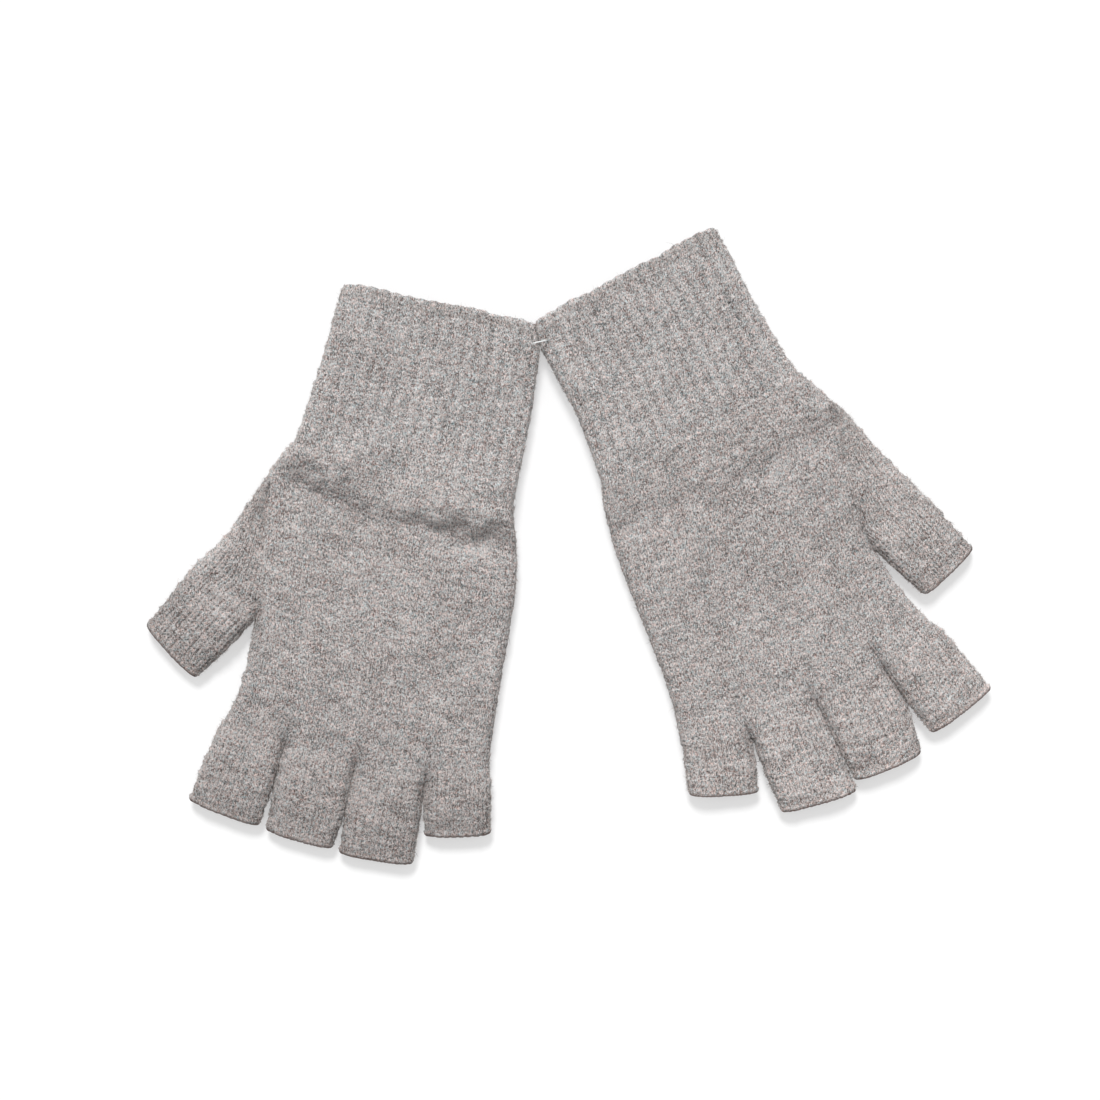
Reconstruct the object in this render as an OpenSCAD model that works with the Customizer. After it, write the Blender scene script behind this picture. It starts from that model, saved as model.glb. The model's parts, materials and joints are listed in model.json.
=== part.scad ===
// A pair of knitted half-finger gloves, lying flat with backs up and fingers towards -Y.
// Each glove is drawn along +Y from its cuff edge, with the thumb at -X, and is then turned into place.
// The left glove is the mirror image of the right one, in its own widths and finger angles.

/* [Fabric] */
// Height of one glove as it lies
glove_h = 8.2; // [7.8:0.1:9]
// Thickness of the knitted fabric
fabric = 1.8; // [1.5:0.1:1.9]
// Gap between two pieces that move on each other
play = 0.6; // [0.5:0.1:1]

/* [Lie of the pair] */
// Turn of the left glove about its cuff edge
left_turn = 164; // [162:1:165]
// Turn of the right glove about its cuff edge
right_turn = 210; // [210:1:213]
// Distance of the left cuff edge's centre to the left of the pair's centre
left_x = 46.2; // [44:0.1:50]
// Distance of the left cuff edge's centre towards the back
left_y = 86.95; // [80:0.1:95]
// Distance of the right cuff edge's centre to the right of the pair's centre
right_x = 19.1; // [18:0.1:24]
// Distance of the right cuff edge's centre towards the back
right_y = 97.65; // [90:0.1:105]

/* [Cuff] */
// Length of the ribbed cuff, from its cast-on edge to the wrist
cuff_len = 65; // [55:1:75]
// Length of the cast-on edge
welt_len = 2.6; // [2:0.1:4]

/* [Stalls] */
// Length of the bound-off edge of a finger
edge_len = 2.4; // [2:0.1:4]
// Radius of the stitches that close the fork between two fingers
join_r = 0.9; // [0.6:0.1:1.2]

/* [Pairing tack] */
// Radius of the nylon filament
tack_r = 0.25; // [0.2:0.05:0.4]
// Radius of the filament's hole in the fabric
tack_hole_r = 0.6; // [0.55:0.05:0.9]
// Length of the bar on each end
bar_len = 8; // [6:1:10]
// Radius of the bar on each end
bar_r = 0.5; // [0.4:0.1:0.7]
// Distance of the filament from the cuff edge
tack_y = 8.6; // [7:0.1:12]

/* [Hidden] */

LEFT = 0;
RIGHT = 1;
THUMB = 0;
INDEX = 1;
MIDDLE = 2;
RING = 3;
LITTLE = 4;

// Colours of the heather knit, of the darker edges and of the nylon
knit = [0.65, 0.63, 0.62];
rib = [0.67, 0.65, 0.64];
stall_knit = [0.62, 0.6, 0.59];
edge_knit = [0.55, 0.5, 0.48];
nylon = [0.92, 0.93, 0.92];

// Points around the half-round fold at each side of a flattened tube
FOLD_STEPS = 8;
// How far a hollow or a cutter runs past the solid that it opens
PAST = 2;

// Outlines as [distance from the cuff edge, thumb side, little finger's side]
CUFF = [
    [[0, -35, 34], [8, -36, 38.2], [30, -36, 42], [cuff_len, -37.5, 45]],
    [[0, -36.5, 32.5], [9, -37.5, 37], [36, -37.5, 39], [cuff_len, -39, 45]]
];
PALM = [
    [[cuff_len, -38, 45], [80, -40, 51], [97, -38, 54.5], [131, -34.5, 58.5], [150, -32.5, 61],
     [164, -33.5, 65], [180, -36, 69]],
    [[cuff_len, -39, 45], [80, -41, 49.5], [97, -38, 53], [131, -29.5, 58], [145, -30.5, 61],
     [161, -33, 67], [180, -36, 72]]
];
GUSSET = [
    [[cuff_len, -38, -8], [78, -43, -12], [101, -50, -18], [112, -56, -20], [134, -68, -24]],
    [[cuff_len, -39, -8], [78, -42.5, -12], [101, -48, -16], [116, -52, -18], [142, -59, -22]]
];

// Stalls as [root's distance from the cuff edge, root's place across, angle, root width, end width,
// length], in the order thumb, index, middle, ring, little
STALLS = [
    [[122.6, -47.1, -27, 29, 25, 27], [168, -22.7, -3, 25, 26.4, 31.4],
     [169, 3.5, 2, 25.4, 23.6, 31.6], [168.5, 29.7, 6, 24.6, 25, 31],
     [163, 54, 16, 23, 22, 21]],
    [[127.2, -41.6, -15, 27, 24, 26.5], [169, -23.2, -7, 24, 26.8, 30.6],
     [170, 3.2, 4, 26, 24.4, 32.8], [170, 30, 8, 25.2, 25.6, 31.4],
     [162.6, 55, 23, 23, 22.6, 20.6]]
];

// Places of the filament across each cuff
TACK_ACROSS = [32.4, 31];

function stall_at(g, f) = [STALLS[g][f][1], STALLS[g][f][0]];
function stall_turn(g, f) = -STALLS[g][f][2];
function stall_root_w(g, f) = STALLS[g][f][3];
function stall_end_w(g, f) = STALLS[g][f][4];
function stall_len(g, f) = STALLS[g][f][5];
// A point beside the root of a stall, as far across it and back from it as given
function beside(g, f, across, back) =
    let (a = stall_turn(g, f))
    stall_at(g, f) + across * [cos(a), sin(a)] - back * [-sin(a), cos(a)];
function root_corner(g, f, side, back) = beside(g, f, side * stall_root_w(g, f) / 2, back);

// The height of a tube's inside
hollow_h = glove_h - 2 * fabric;
// The filament's bridge above the cuffs
bridge_z = glove_h + 0.7;
// The moulded thickening where the filament bends
bend_r = 1.4 * tack_r;
// The bars under the fabric's upper layer
bar_z = glove_h - fabric - 0.9;

// Outline of a flattened tube from x0 to x1 with half-round folds, as points at y and from z up
function flat_ring(y, x0, x1, z, h) =
    let (r = h / 2)
    [for (i = [0 : FOLD_STEPS])
        let (a = -90 + 180 * i / FOLD_STEPS) [x1 - r + r * cos(a), y, z + r + r * sin(a)],
     for (i = [0 : FOLD_STEPS])
        let (a = 90 + 180 * i / FOLD_STEPS) [x0 + r + r * cos(a), y, z + r + r * sin(a)]];
// Number of points in such an outline
LOOP = 2 * (FOLD_STEPS + 1);

function outer_ring(st) = flat_ring(st[0], st[1], st[2], 0, glove_h);
function inner_ring(st) = flat_ring(st[0], st[1] + fabric, st[2] - fabric, fabric, hollow_h);
function joined(lists) = [for (l = lists) for (p = l) p];
function backwards(list) = [for (i = [len(list) - 1 : -1 : 0]) list[i]];
// Faces between one ring of points and the next, counting rings round to the first again
function band(k, rings) =
    [for (i = [0 : LOOP - 1])
        let (j = (i + 1) % LOOP, n = (k + 1) % rings)
        [k * LOOP + i, k * LOOP + j, n * LOOP + j, n * LOOP + i]];

// A tube's wall alone, open at both ends
module tube_wall(stations) {
    outer = [for (st = stations) outer_ring(st)];
    inner = [for (st = backwards(stations)) inner_ring(st)];
    rings = 2 * len(stations);
    polyhedron(joined(concat(outer, inner)), joined([for (k = [0 : rings - 1]) band(k, rings)]));
}

// A closed body through a list of rings
module filled(rings) {
    last = len(rings) - 1;
    sides = joined([for (k = [0 : last - 1]) band(k, len(rings))]);
    start = [for (i = [LOOP - 1 : -1 : 0]) i];
    end = [for (i = [0 : LOOP - 1]) last * LOOP + i];
    polyhedron(joined(rings), concat(sides, [start, end]));
}

// Stations with the first and last moved outwards along the tube
function lengthened(stations, by) =
    let (last = len(stations) - 1)
    [for (k = [0 : last])
        let (st = stations[k])
        [st[0] + (k == 0 ? -by : k == last ? by : 0), st[1], st[2]]];

// Stations of an outline between two distances from the cuff edge
function across_at(stations, y, side, k = 0) =
    let (a = stations[k], b = stations[k + 1])
    y <= b[0] || k == len(stations) - 2
        ? a[side] + (b[side] - a[side]) * (y - a[0]) / (b[0] - a[0])
        : across_at(stations, y, side, k + 1);
function station(stations, y) = [y, across_at(stations, y, 1), across_at(stations, y, 2)];
function between(stations, y0, y1) = concat(
    [station(stations, y0)],
    [for (st = stations) if (st[0] > y0 + 0.1 && st[0] < y1 - 0.1) st],
    [station(stations, y1)]
);

// Puts a glove drawn on the thumb-at--X plan in its place in the pair
module placed(g) {
    if (g == LEFT)
        translate([-left_x, left_y, 0]) rotate([0, 0, left_turn]) mirror([1, 0, 0]) children();
    else
        translate([right_x, right_y, 0]) rotate([0, 0, right_turn]) children();
}

// Puts a stall drawn along +Y from its root at the origin in its place on a glove
module on_root(g, f) {
    placed(g)
        translate([stall_at(g, f)[0], stall_at(g, f)[1], 0])
            rotate([0, 0, stall_turn(g, f)]) children();
}

module welt(g) {
    placed(g) color(edge_knit) tube_wall(between(CUFF[g], 0, welt_len));
}

module cuff(g) {
    placed(g) color(rib) difference() {
        tube_wall(between(CUFF[g], welt_len, cuff_len - play / 2));
        translate([TACK_ACROSS[g], tack_y, glove_h / 2]) cylinder(h = glove_h, r = tack_hole_r, $fn = 24);
    }
}

// The palm and the thumb's gusset, knitted as one, with the front open into the fingers
module hand(g) {
    palm = between(PALM[g], cuff_len + play / 2, 180);
    gusset = between(GUSSET[g], cuff_len + play / 2, g == LEFT ? 134 : 142);
    placed(g) color(knit) difference() {
        union() {
            filled([for (st = palm) outer_ring(st)]);
            difference() {
                filled([for (st = gusset) outer_ring(st)]);
                thumb_side_off(g, play / 2);
            }
        }
        filled([for (st = lengthened(palm, PAST)) inner_ring(st)]);
        filled([for (st = lengthened(gusset, PAST)) inner_ring(st)]);
        front_off(g);
    }
}

// The space beyond the thumb's root line
module thumb_side_off(g, back) {
    w = stall_root_w(g, THUMB) + 12;
    translate([stall_at(g, THUMB)[0], stall_at(g, THUMB)[1], -PAST])
        rotate([0, 0, stall_turn(g, THUMB)])
            translate([-w / 2 - 6, -back, 0]) cube([w, 60, glove_h + 2 * PAST]);
}

// The space beyond the root lines of the four fingers
module front_off(g) {
    roots = [for (f = [INDEX : LITTLE]) for (side = [-1, 1]) root_corner(g, f, side, play / 2)];
    wide = 30;
    first = beside(g, INDEX, -stall_root_w(g, INDEX) / 2 - wide, play / 2);
    last = beside(g, LITTLE, stall_root_w(g, LITTLE) / 2 + wide, play / 2);
    beyond = 220;
    translate([0, 0, -PAST]) linear_extrude(height = glove_h + 2 * PAST)
        polygon(concat([first], roots, [last, [last[0], beyond], [first[0], beyond]]));
}

module stall(g, f) {
    w0 = stall_root_w(g, f) / 2;
    w1 = stall_end_w(g, f) / 2;
    whole = [[0, -w0, w0], [stall_len(g, f), -w1, w1]];
    on_root(g, f) color(stall_knit)
        tube_wall(between(whole, play / 2, stall_len(g, f) - edge_len));
}

module stall_edge(g, f) {
    w0 = stall_root_w(g, f) / 2;
    w1 = stall_end_w(g, f) / 2;
    whole = [[0, -w0, w0], [stall_len(g, f), -w1, w1]];
    on_root(g, f) color(edge_knit)
        tube_wall(between(whole, stall_len(g, f) - edge_len, stall_len(g, f)));
}

// The stitches between the two layers at the fork after a stall
module fork(g, f) {
    back = f == THUMB ? 5 : 3;
    next = f == THUMB ? root_corner(g, THUMB, 1, back) + [3.4, 0] : root_corner(g, f + 1, -1, back);
    at = f == THUMB ? next : (root_corner(g, f, 1, back) + next) / 2;
    placed(g) color(edge_knit)
        translate([at[0], at[1], fabric]) cylinder(h = hollow_h, r = join_r, $fn = 24);
}

// Place of the filament's post in a cuff, in the pair's frame
function turned(p, a) = [p[0] * cos(a) - p[1] * sin(a), p[0] * sin(a) + p[1] * cos(a)];
left_post = [-left_x, left_y] + turned([-TACK_ACROSS[LEFT], tack_y], left_turn);
right_post = [right_x, right_y] + turned([TACK_ACROSS[RIGHT], tack_y], right_turn);

// A double-ended nylon fastener: a bar under each cuff's upper layer, joined by one filament
module pairing_tack() {
    span = right_post - left_post;
    color(nylon) {
        for (post = [[left_post, left_turn], [right_post, right_turn]])
            translate([post[0][0], post[0][1], 0]) {
                translate([0, 0, bar_z]) cylinder(h = bridge_z - bar_z, r = tack_r, $fn = 24);
                translate([0, 0, bridge_z]) sphere(r = bend_r, $fn = 24);
                translate([0, 0, bar_z]) rotate([90, 0, post[1]])
                    cylinder(h = bar_len, r = bar_r, center = true, $fn = 24);
            }
        translate([left_post[0], left_post[1], bridge_z])
            rotate([0, 90, atan2(span[1], span[0])]) cylinder(h = norm(span), r = tack_r, $fn = 24);
    }
}

cuff(LEFT);  // left_cuff
welt(LEFT);  // left_cuff_welt
hand(LEFT);  // left_hand
stall(LEFT, THUMB);  // left_thumb
stall_edge(LEFT, THUMB);  // left_thumb_edge
fork(LEFT, THUMB);  // left_thumb_fork
stall(LEFT, INDEX);  // left_index
stall_edge(LEFT, INDEX);  // left_index_edge
fork(LEFT, INDEX);  // left_index_fork
stall(LEFT, MIDDLE);  // left_middle
stall_edge(LEFT, MIDDLE);  // left_middle_edge
fork(LEFT, MIDDLE);  // left_middle_fork
stall(LEFT, RING);  // left_ring
stall_edge(LEFT, RING);  // left_ring_edge
fork(LEFT, RING);  // left_ring_fork
stall(LEFT, LITTLE);  // left_little
stall_edge(LEFT, LITTLE);  // left_little_edge
cuff(RIGHT);  // right_cuff
welt(RIGHT);  // right_cuff_welt
hand(RIGHT);  // right_hand
stall(RIGHT, THUMB);  // right_thumb
stall_edge(RIGHT, THUMB);  // right_thumb_edge
fork(RIGHT, THUMB);  // right_thumb_fork
stall(RIGHT, INDEX);  // right_index
stall_edge(RIGHT, INDEX);  // right_index_edge
fork(RIGHT, INDEX);  // right_index_fork
stall(RIGHT, MIDDLE);  // right_middle
stall_edge(RIGHT, MIDDLE);  // right_middle_edge
fork(RIGHT, MIDDLE);  // right_middle_fork
stall(RIGHT, RING);  // right_ring
stall_edge(RIGHT, RING);  // right_ring_edge
fork(RIGHT, RING);  // right_ring_fork
stall(RIGHT, LITTLE);  // right_little
stall_edge(RIGHT, LITTLE);  // right_little_edge
pairing_tack();
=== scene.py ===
# %% [markdown]
# # A pair of fingerless gloves, knitted in heather grey wool
# The two gloves lie flat with their backs up, joined at the cuffs by a nylon tack.
# Everything soft is one kind of surface: a tube of fabric pressed flat, worked out on a grid whose
# columns are the knit's wales and whose rows are its courses. The stitches are part of the surface's
# shape, so the same mesh gives the outline, the ribs and the little Vs.

# %% The frame
import json
import math

import bpy
import numpy as np
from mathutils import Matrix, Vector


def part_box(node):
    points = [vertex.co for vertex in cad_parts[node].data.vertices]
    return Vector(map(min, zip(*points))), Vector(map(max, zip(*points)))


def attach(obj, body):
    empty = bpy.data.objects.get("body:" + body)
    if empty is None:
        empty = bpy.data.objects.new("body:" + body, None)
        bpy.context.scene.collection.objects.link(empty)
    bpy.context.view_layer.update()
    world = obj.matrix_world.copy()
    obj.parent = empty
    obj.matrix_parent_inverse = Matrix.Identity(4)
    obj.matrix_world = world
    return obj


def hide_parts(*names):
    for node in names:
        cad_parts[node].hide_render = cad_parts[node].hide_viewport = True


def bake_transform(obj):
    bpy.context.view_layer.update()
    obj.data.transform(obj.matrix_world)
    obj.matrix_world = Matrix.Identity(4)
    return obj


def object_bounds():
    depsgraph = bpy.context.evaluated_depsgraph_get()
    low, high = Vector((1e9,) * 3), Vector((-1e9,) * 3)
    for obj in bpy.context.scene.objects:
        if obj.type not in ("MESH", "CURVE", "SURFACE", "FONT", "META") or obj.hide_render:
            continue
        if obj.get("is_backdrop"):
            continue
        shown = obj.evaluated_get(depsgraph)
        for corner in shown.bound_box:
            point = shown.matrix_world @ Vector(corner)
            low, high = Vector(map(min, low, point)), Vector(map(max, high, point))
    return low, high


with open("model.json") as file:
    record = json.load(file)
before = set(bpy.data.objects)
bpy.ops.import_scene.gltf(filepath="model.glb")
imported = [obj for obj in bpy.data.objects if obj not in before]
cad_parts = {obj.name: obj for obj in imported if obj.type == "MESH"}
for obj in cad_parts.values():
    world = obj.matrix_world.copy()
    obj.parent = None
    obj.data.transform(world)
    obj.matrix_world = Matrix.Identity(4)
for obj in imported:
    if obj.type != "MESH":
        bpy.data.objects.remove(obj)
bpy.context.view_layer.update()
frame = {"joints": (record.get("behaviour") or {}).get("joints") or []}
MM = 0.001
JOINTS = {j["name"]: j for j in frame["joints"]}
SIDES = ("left", "right")
FINGERS = ("thumb", "index", "middle", "ring", "little")

# %% [markdown]
# ## Camera, floor and light
# The pair is seen from straight above. A long lens keeps the thin gloves from leaning outwards.
# The light comes from beyond the cuffs and from all round, so the finger ends throw a short, pale shadow.

# %% Camera
VIEW_WIDTH = 396 * MM
VIEW_CENTRE = (-6.6 * MM, -2.3 * MM)
MIDDLE_UP = 3.8 * MM
LENS, SENSOR = 85, 36
camera_data = bpy.data.cameras.new("camera")
camera_data.lens, camera_data.sensor_width = LENS, SENSOR
camera = bpy.data.objects.new("camera", camera_data)
bpy.context.scene.collection.objects.link(camera)
camera.location = (*VIEW_CENTRE, VIEW_WIDTH * LENS / SENSOR + MIDDLE_UP)
bpy.context.scene.camera = camera
print("camera height", round(camera.location.z, 3))


# %% A mesh from arrays
def link(name, points, faces, uv=None, smooth=True, **heights):
    """A mesh object from points (n, 3) in metres and faces (m, 4 or 3), with a UV per face corner
    (m * corners, 2) called knit, and a number per point for each further name."""
    mesh = bpy.data.meshes.new(name)
    count, corners = faces.shape
    mesh.vertices.add(len(points))
    mesh.vertices.foreach_set("co", points.astype(np.float32).ravel())
    mesh.loops.add(count * corners)
    mesh.loops.foreach_set("vertex_index", faces.astype(np.int32).ravel())
    mesh.polygons.add(count)
    mesh.polygons.foreach_set("loop_start", np.arange(0, count * corners, corners, dtype=np.int32))
    mesh.polygons.foreach_set("use_smooth", np.full(count, smooth))
    if uv is not None:
        layer = mesh.uv_layers.new(name="knit")
        layer.data.foreach_set("uv", uv.astype(np.float32).ravel())
    for label, values in heights.items():
        layer = mesh.attributes.new(label, "FLOAT", "POINT")
        layer.data.foreach_set("value", values.astype(np.float32).ravel())
    mesh.update(calc_edges=True)
    mesh.validate()
    obj = bpy.data.objects.new(name, mesh)
    bpy.context.scene.collection.objects.link(obj)
    return obj


# %% Shader wires
class Wire:
    """A shader socket that Python arithmetic can be written on. Each operator adds one Math node."""

    def __init__(self, tree, socket):
        self.tree, self.socket = tree, socket

    def _math(self, operation, first, second):
        return self.tree.add("ShaderNodeMath", {"operation": operation}, {0: first, 1: second})

    def __add__(self, other):
        return self._math("ADD", self, other)

    __radd__ = __add__

    def __mul__(self, other):
        return self._math("MULTIPLY", self, other)

    __rmul__ = __mul__

    def __sub__(self, other):
        return self._math("SUBTRACT", self, other)

    def __rsub__(self, other):
        return self._math("SUBTRACT", other, self)

    def clamped(self):
        """The value kept between 0 and 1."""
        settings = {"operation": "ADD", "use_clamp": True}
        return self.tree.add("ShaderNodeMath", settings, {0: self, 1: 0.0})


class Finish:
    """A material's node tree. add() makes any node: its type, its settings, then its sockets."""

    def __init__(self, name):
        self.material = bpy.data.materials.new(name)
        self.material.use_nodes = True
        self.nodes = self.material.node_tree.nodes
        self.links = self.material.node_tree.links
        self.shader = self.nodes["Principled BSDF"]

    def add(self, kind, settings=None, inputs=None, output=0):
        node = self.nodes.new(kind)
        for name, value in (settings or {}).items():
            setattr(node, name, value)
        self.feed(node, inputs or {})
        return Wire(self, node.outputs[output])

    def feed(self, node, inputs):
        for name, value in inputs.items():
            socket = node.inputs[name]
            if isinstance(value, Wire):
                self.links.new(value.socket, socket)
            else:
                socket.default_value = value

    def mix(self, factor, first, second):
        """A colour between two colours, by the factor."""
        inputs = {"Factor": factor, 6: first, 7: second}
        return self.add("ShaderNodeMix", {"data_type": "RGBA"}, inputs, 2)

    def set(self, **sockets):
        """Gives the shader's sockets, written with _ for a space, their values or links."""
        self.feed(self.shader, {name.replace("_", " "): value for name, value in sockets.items()})


def linear(*srgb):
    """A colour given as it is seen, from 0 to 1, as the light values that a shader works in. The
    numbers are the standard ones of the sRGB curve."""
    values = np.array(srgb)
    curved = ((values + 0.055) / 1.055) ** 2.4
    return (*np.where(values <= 0.04045, values / 12.92, curved), 1.0)


# %% [markdown]
# ## The stage
# A pale sheet of card. It is nearly white, so the fuzz and the bumpy outline show against it. It
# glows a little, as a light table does, which keeps the shadows pale.

# %% Floor and lights
FLOOR_SIZE = 60.0
PAPER_GREY, PAPER_GLOW = 0.50, 0.45
SKY_STRENGTH = 0.64
half = FLOOR_SIZE / 2
corners = np.array([[-half, -half, 0], [half, -half, 0], [half, half, 0], [-half, half, 0]])
floor = link("floor", corners, np.array([[0, 1, 2, 3]]), smooth=False)
paper = Finish("light_table")
paper.set(Base_Color=(PAPER_GREY, PAPER_GREY, PAPER_GREY, 1), Roughness=0.9,
          Specular_IOR_Level=0.1, Emission_Color=(1.0, 1.0, 1.0, 1), Emission_Strength=PAPER_GLOW)
floor.data.materials.append(paper.material)
floor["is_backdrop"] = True

world = bpy.data.worlds.new("studio")
world.use_nodes = True
sky = world.node_tree.nodes["Background"]
sky.inputs["Color"].default_value = (1.0, 1.0, 1.0, 1)
sky.inputs["Strength"].default_value = SKY_STRENGTH
bpy.context.scene.world = world
bpy.context.scene.view_settings.view_transform = "Standard"

# Degrees: how high the sun stands, how far it is turned, and how wide it is
SUN_HEIGHT, SUN_TURN, SUN_SOFTNESS = 43, 8, 18
SUN_POWER = 2.7
sun_data = bpy.data.lights.new("window", "SUN")
sun_data.energy = SUN_POWER
sun_data.angle = math.radians(SUN_SOFTNESS)
sun = bpy.data.objects.new("window", sun_data)
sun.rotation_euler = (math.radians(SUN_HEIGHT - 90), 0, math.radians(SUN_TURN))
bpy.context.scene.collection.objects.link(sun)
print("stage ready")

# %% [markdown]
# ## The plan of a glove
# Lengths run from the cuff's edge towards the fingertips, and across from the thumb's side to the
# little finger's side, in millimetres. Each glove's place and turn come from its wrist hinge in the
# frame, and each stall's from its own hinge, so the surfaces land where the design says.

# %% Driving dimensions, in millimetres
CUFF_LEN = 65.0
WRIST_ACROSS = 3.0
WELT_LEN = 2.6
EDGE_LEN = 2.4
FABRIC = 1.7
WALL_FOLD = 0.8
HALF_HEIGHT = 3.75
COURSE = 1.62
RIBS = 16
# Outlines as stations: how far from the cuff's edge, the thumb's side, the little finger's side
CUFF = {
    "left": [(-2, -34.2, 34.4), (2, -34.3, 37.2), (7, -34.7, 39.2), (28, -34.6, 42.4), (56, -35.3, 44.7),
             (CUFF_LEN, -36.6, 45.8)],
    "right": [(-1, -36.2, 34.2), (3, -36.4, 37.2), (9, -36.4, 38.6), (36, -35.4, 39.2), (56, -35.5, 42.5),
              (CUFF_LEN, -37.2, 44.8)],
}
PALM = {
    "left": [(CUFF_LEN, -37.0, 45.7), (70, -39.2, 47.5), (76, -41.5, 49.9), (80, -42.4, 51.3),
             (86, -40.6, 53.0), (97, -37, 55.2), (131, -31.5, 58.9), (146, -30.2, 60.8),
             (154, -30.1, 62.2), (160, -30.7, 64), (168.5, -33.2, 66), (180, -36.5, 68)],
    "right": [(CUFF_LEN, -37.2, 44.8), (70, -39.0, 47.4), (76, -41.0, 49.2), (80, -42.2, 50.2),
              (86, -40.0, 51.7), (97, -36, 53.7), (131, -28.2, 58.6), (145, -28.6, 61.5),
              (159, -30.9, 66.3), (167.6, -33.6, 69), (180, -38.0, 72)],
}
# The cuff's edge is a little aslant: its place at the middle, its slope, and how far it bows
CUFF_EDGE = {"left": (1.15, -0.070, 0.3), "right": (2.05, -0.040, 1.1)}
# Each stall: its thumb's side at the root, half way and end; its other side; where both sides end
STALL = {
    "left": {
        "thumb": ((-12.6, -11.7, -11.0), (15.2, 15.0, 13.9), (27.1, 29.0)),
        "index": ((-10.4, -12.1, -12.5), (13.0, 13.6, 13.2), (30.2, 31.1)),
        "middle": ((-13.0, -12.9, -11.7), (13.0, 13.5, 11.9), (31.0, 31.7)),
        "ring": ((-12.8, -13.4, -12.6), (12.4, 13.0, 13.1), (31.4, 30.9)),
        "little": ((-11.5, -12.0, -11.8), (10.7, 10.9, 10.7), (20.9, 20.3)),
    },
    "right": {
        "thumb": ((-12.2, -11.8, -11.4), (13.1, 12.7, 11.9), (26.6, 26.3)),
        "index": ((-11.1, -12.4, -13.1), (12.8, 13.2, 12.5), (29.5, 29.9)),
        "middle": ((-13.3, -15.0, -11.9), (13.2, 13.4, 12.8), (33.6, 32.1)),
        "ring": ((-13.0, -14.0, -14.1), (12.9, 13.3, 12.6), (32.7, 30.1)),
        "little": ((-12.1, -12.8, -12.6), (11.4, 11.4, 11.1), (20.9, 19.3)),
    },
}


class Plan:
    """A flat drawing board: an origin and two unit directions in the row's XY plane."""

    def __init__(self, origin, across, along):
        self.origin, self.across, self.along = map(np.array, (origin, across, along))
        self.mirrored = self.across[0] * self.along[1] - self.across[1] * self.along[0] < 0

    def place(self, x, y, z):
        """Points across x, along y and up z, all in millimetres, as metres in the row frame."""
        flat = self.origin + MM * (x[..., None] * self.across + y[..., None] * self.along)
        return np.concatenate([flat, MM * z[..., None]], axis=-1)

    def local(self, points):
        """Points (n, 2) of the row frame, in metres, as (across, along) in millimetres."""
        offset = (points - self.origin) / MM
        return offset @ self.across, offset @ self.along


def plan_at_hinge(name, side, across_mm=0.0, along_mm=0.0):
    """The plan whose point (across, along) is the hinge, with +along at right angles to its axis."""
    hinge = JOINTS[name]
    axis = np.array(hinge["axis"][:2])
    along = np.array([-axis[1], axis[0]])
    across = axis if side == "right" else -axis
    origin = np.array(hinge["pos_m"][:2]) - MM * (across_mm * across + along_mm * along)
    return Plan(origin, across, along)


GLOVE = {s: plan_at_hinge(f"{s}_wrist_fold", s, WRIST_ACROSS, CUFF_LEN) for s in SIDES}
ROOT = {s: {f: plan_at_hinge(f"{s}_{f}_bend", s) for f in FINGERS} for s in SIDES}
print("left cuff edge at", np.round(GLOVE["left"].origin, 4), "right at", np.round(GLOVE["right"].origin, 4))


# %% Soft outlines and soft noise
def soft_line(stations, column, spread=5.0):
    """A smooth curve past an outline's stations: the straight pieces between them, averaged over
    spread millimetres to each side, and carried on level beyond both ends."""
    step, beyond = 0.5, 30
    stations = np.array(stations, float)
    ys = np.arange(stations[0, 0] - beyond, stations[-1, 0] + beyond, step)
    values = np.interp(ys, stations[:, 0], stations[:, column])
    weights = np.hanning(int(2 * spread / step) + 1)
    padded = np.pad(values, len(weights) // 2, mode="edge")
    smooth = np.convolve(padded, weights / weights.sum(), mode="valid")
    return lambda y: np.interp(y, ys, smooth)


def soft_noise(x, y, size, seed):
    """Hills from -1 to 1 about size across: random heights on a square lattice, joined smoothly."""
    cells = 64
    heights = np.random.default_rng(seed).uniform(-1, 1, (cells, cells))
    gx, gy = np.broadcast_arrays(x / size, y / size)
    ix, iy = np.floor(gx).astype(int), np.floor(gy).astype(int)
    fx, fy = gx - ix, gy - iy
    fx, fy = fx * fx * (3 - 2 * fx), fy * fy * (3 - 2 * fy)
    near = heights[ix % cells, iy % cells] * (1 - fx) + heights[(ix + 1) % cells, iy % cells] * fx
    far_row = (iy + 1) % cells
    far = heights[ix % cells, far_row] * (1 - fx) + heights[(ix + 1) % cells, far_row] * fx
    return near * (1 - fy) + far * fy


def rise(value, low, high):
    """From 0 at low to 1 at high, with a smooth start and end."""
    t = np.clip((value - low) / (high - low), 0, 1)
    return t * t * (3 - 2 * t)


def bell(distance, reach):
    """1 where the distance is 0, and falling away to both sides: e to the power of minus the square
    of distance over reach."""
    return np.exp(-((distance / reach) ** 2))


# %% [markdown]
# ## A flattened tube
# Knitted tubes lie flat, so a section is two layers joined by a round fold at each side. A fold is a
# quarter of an ellipse over and a quarter under. Points are spaced by length round the section, so
# the wales keep their width as they go round a fold.

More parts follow.
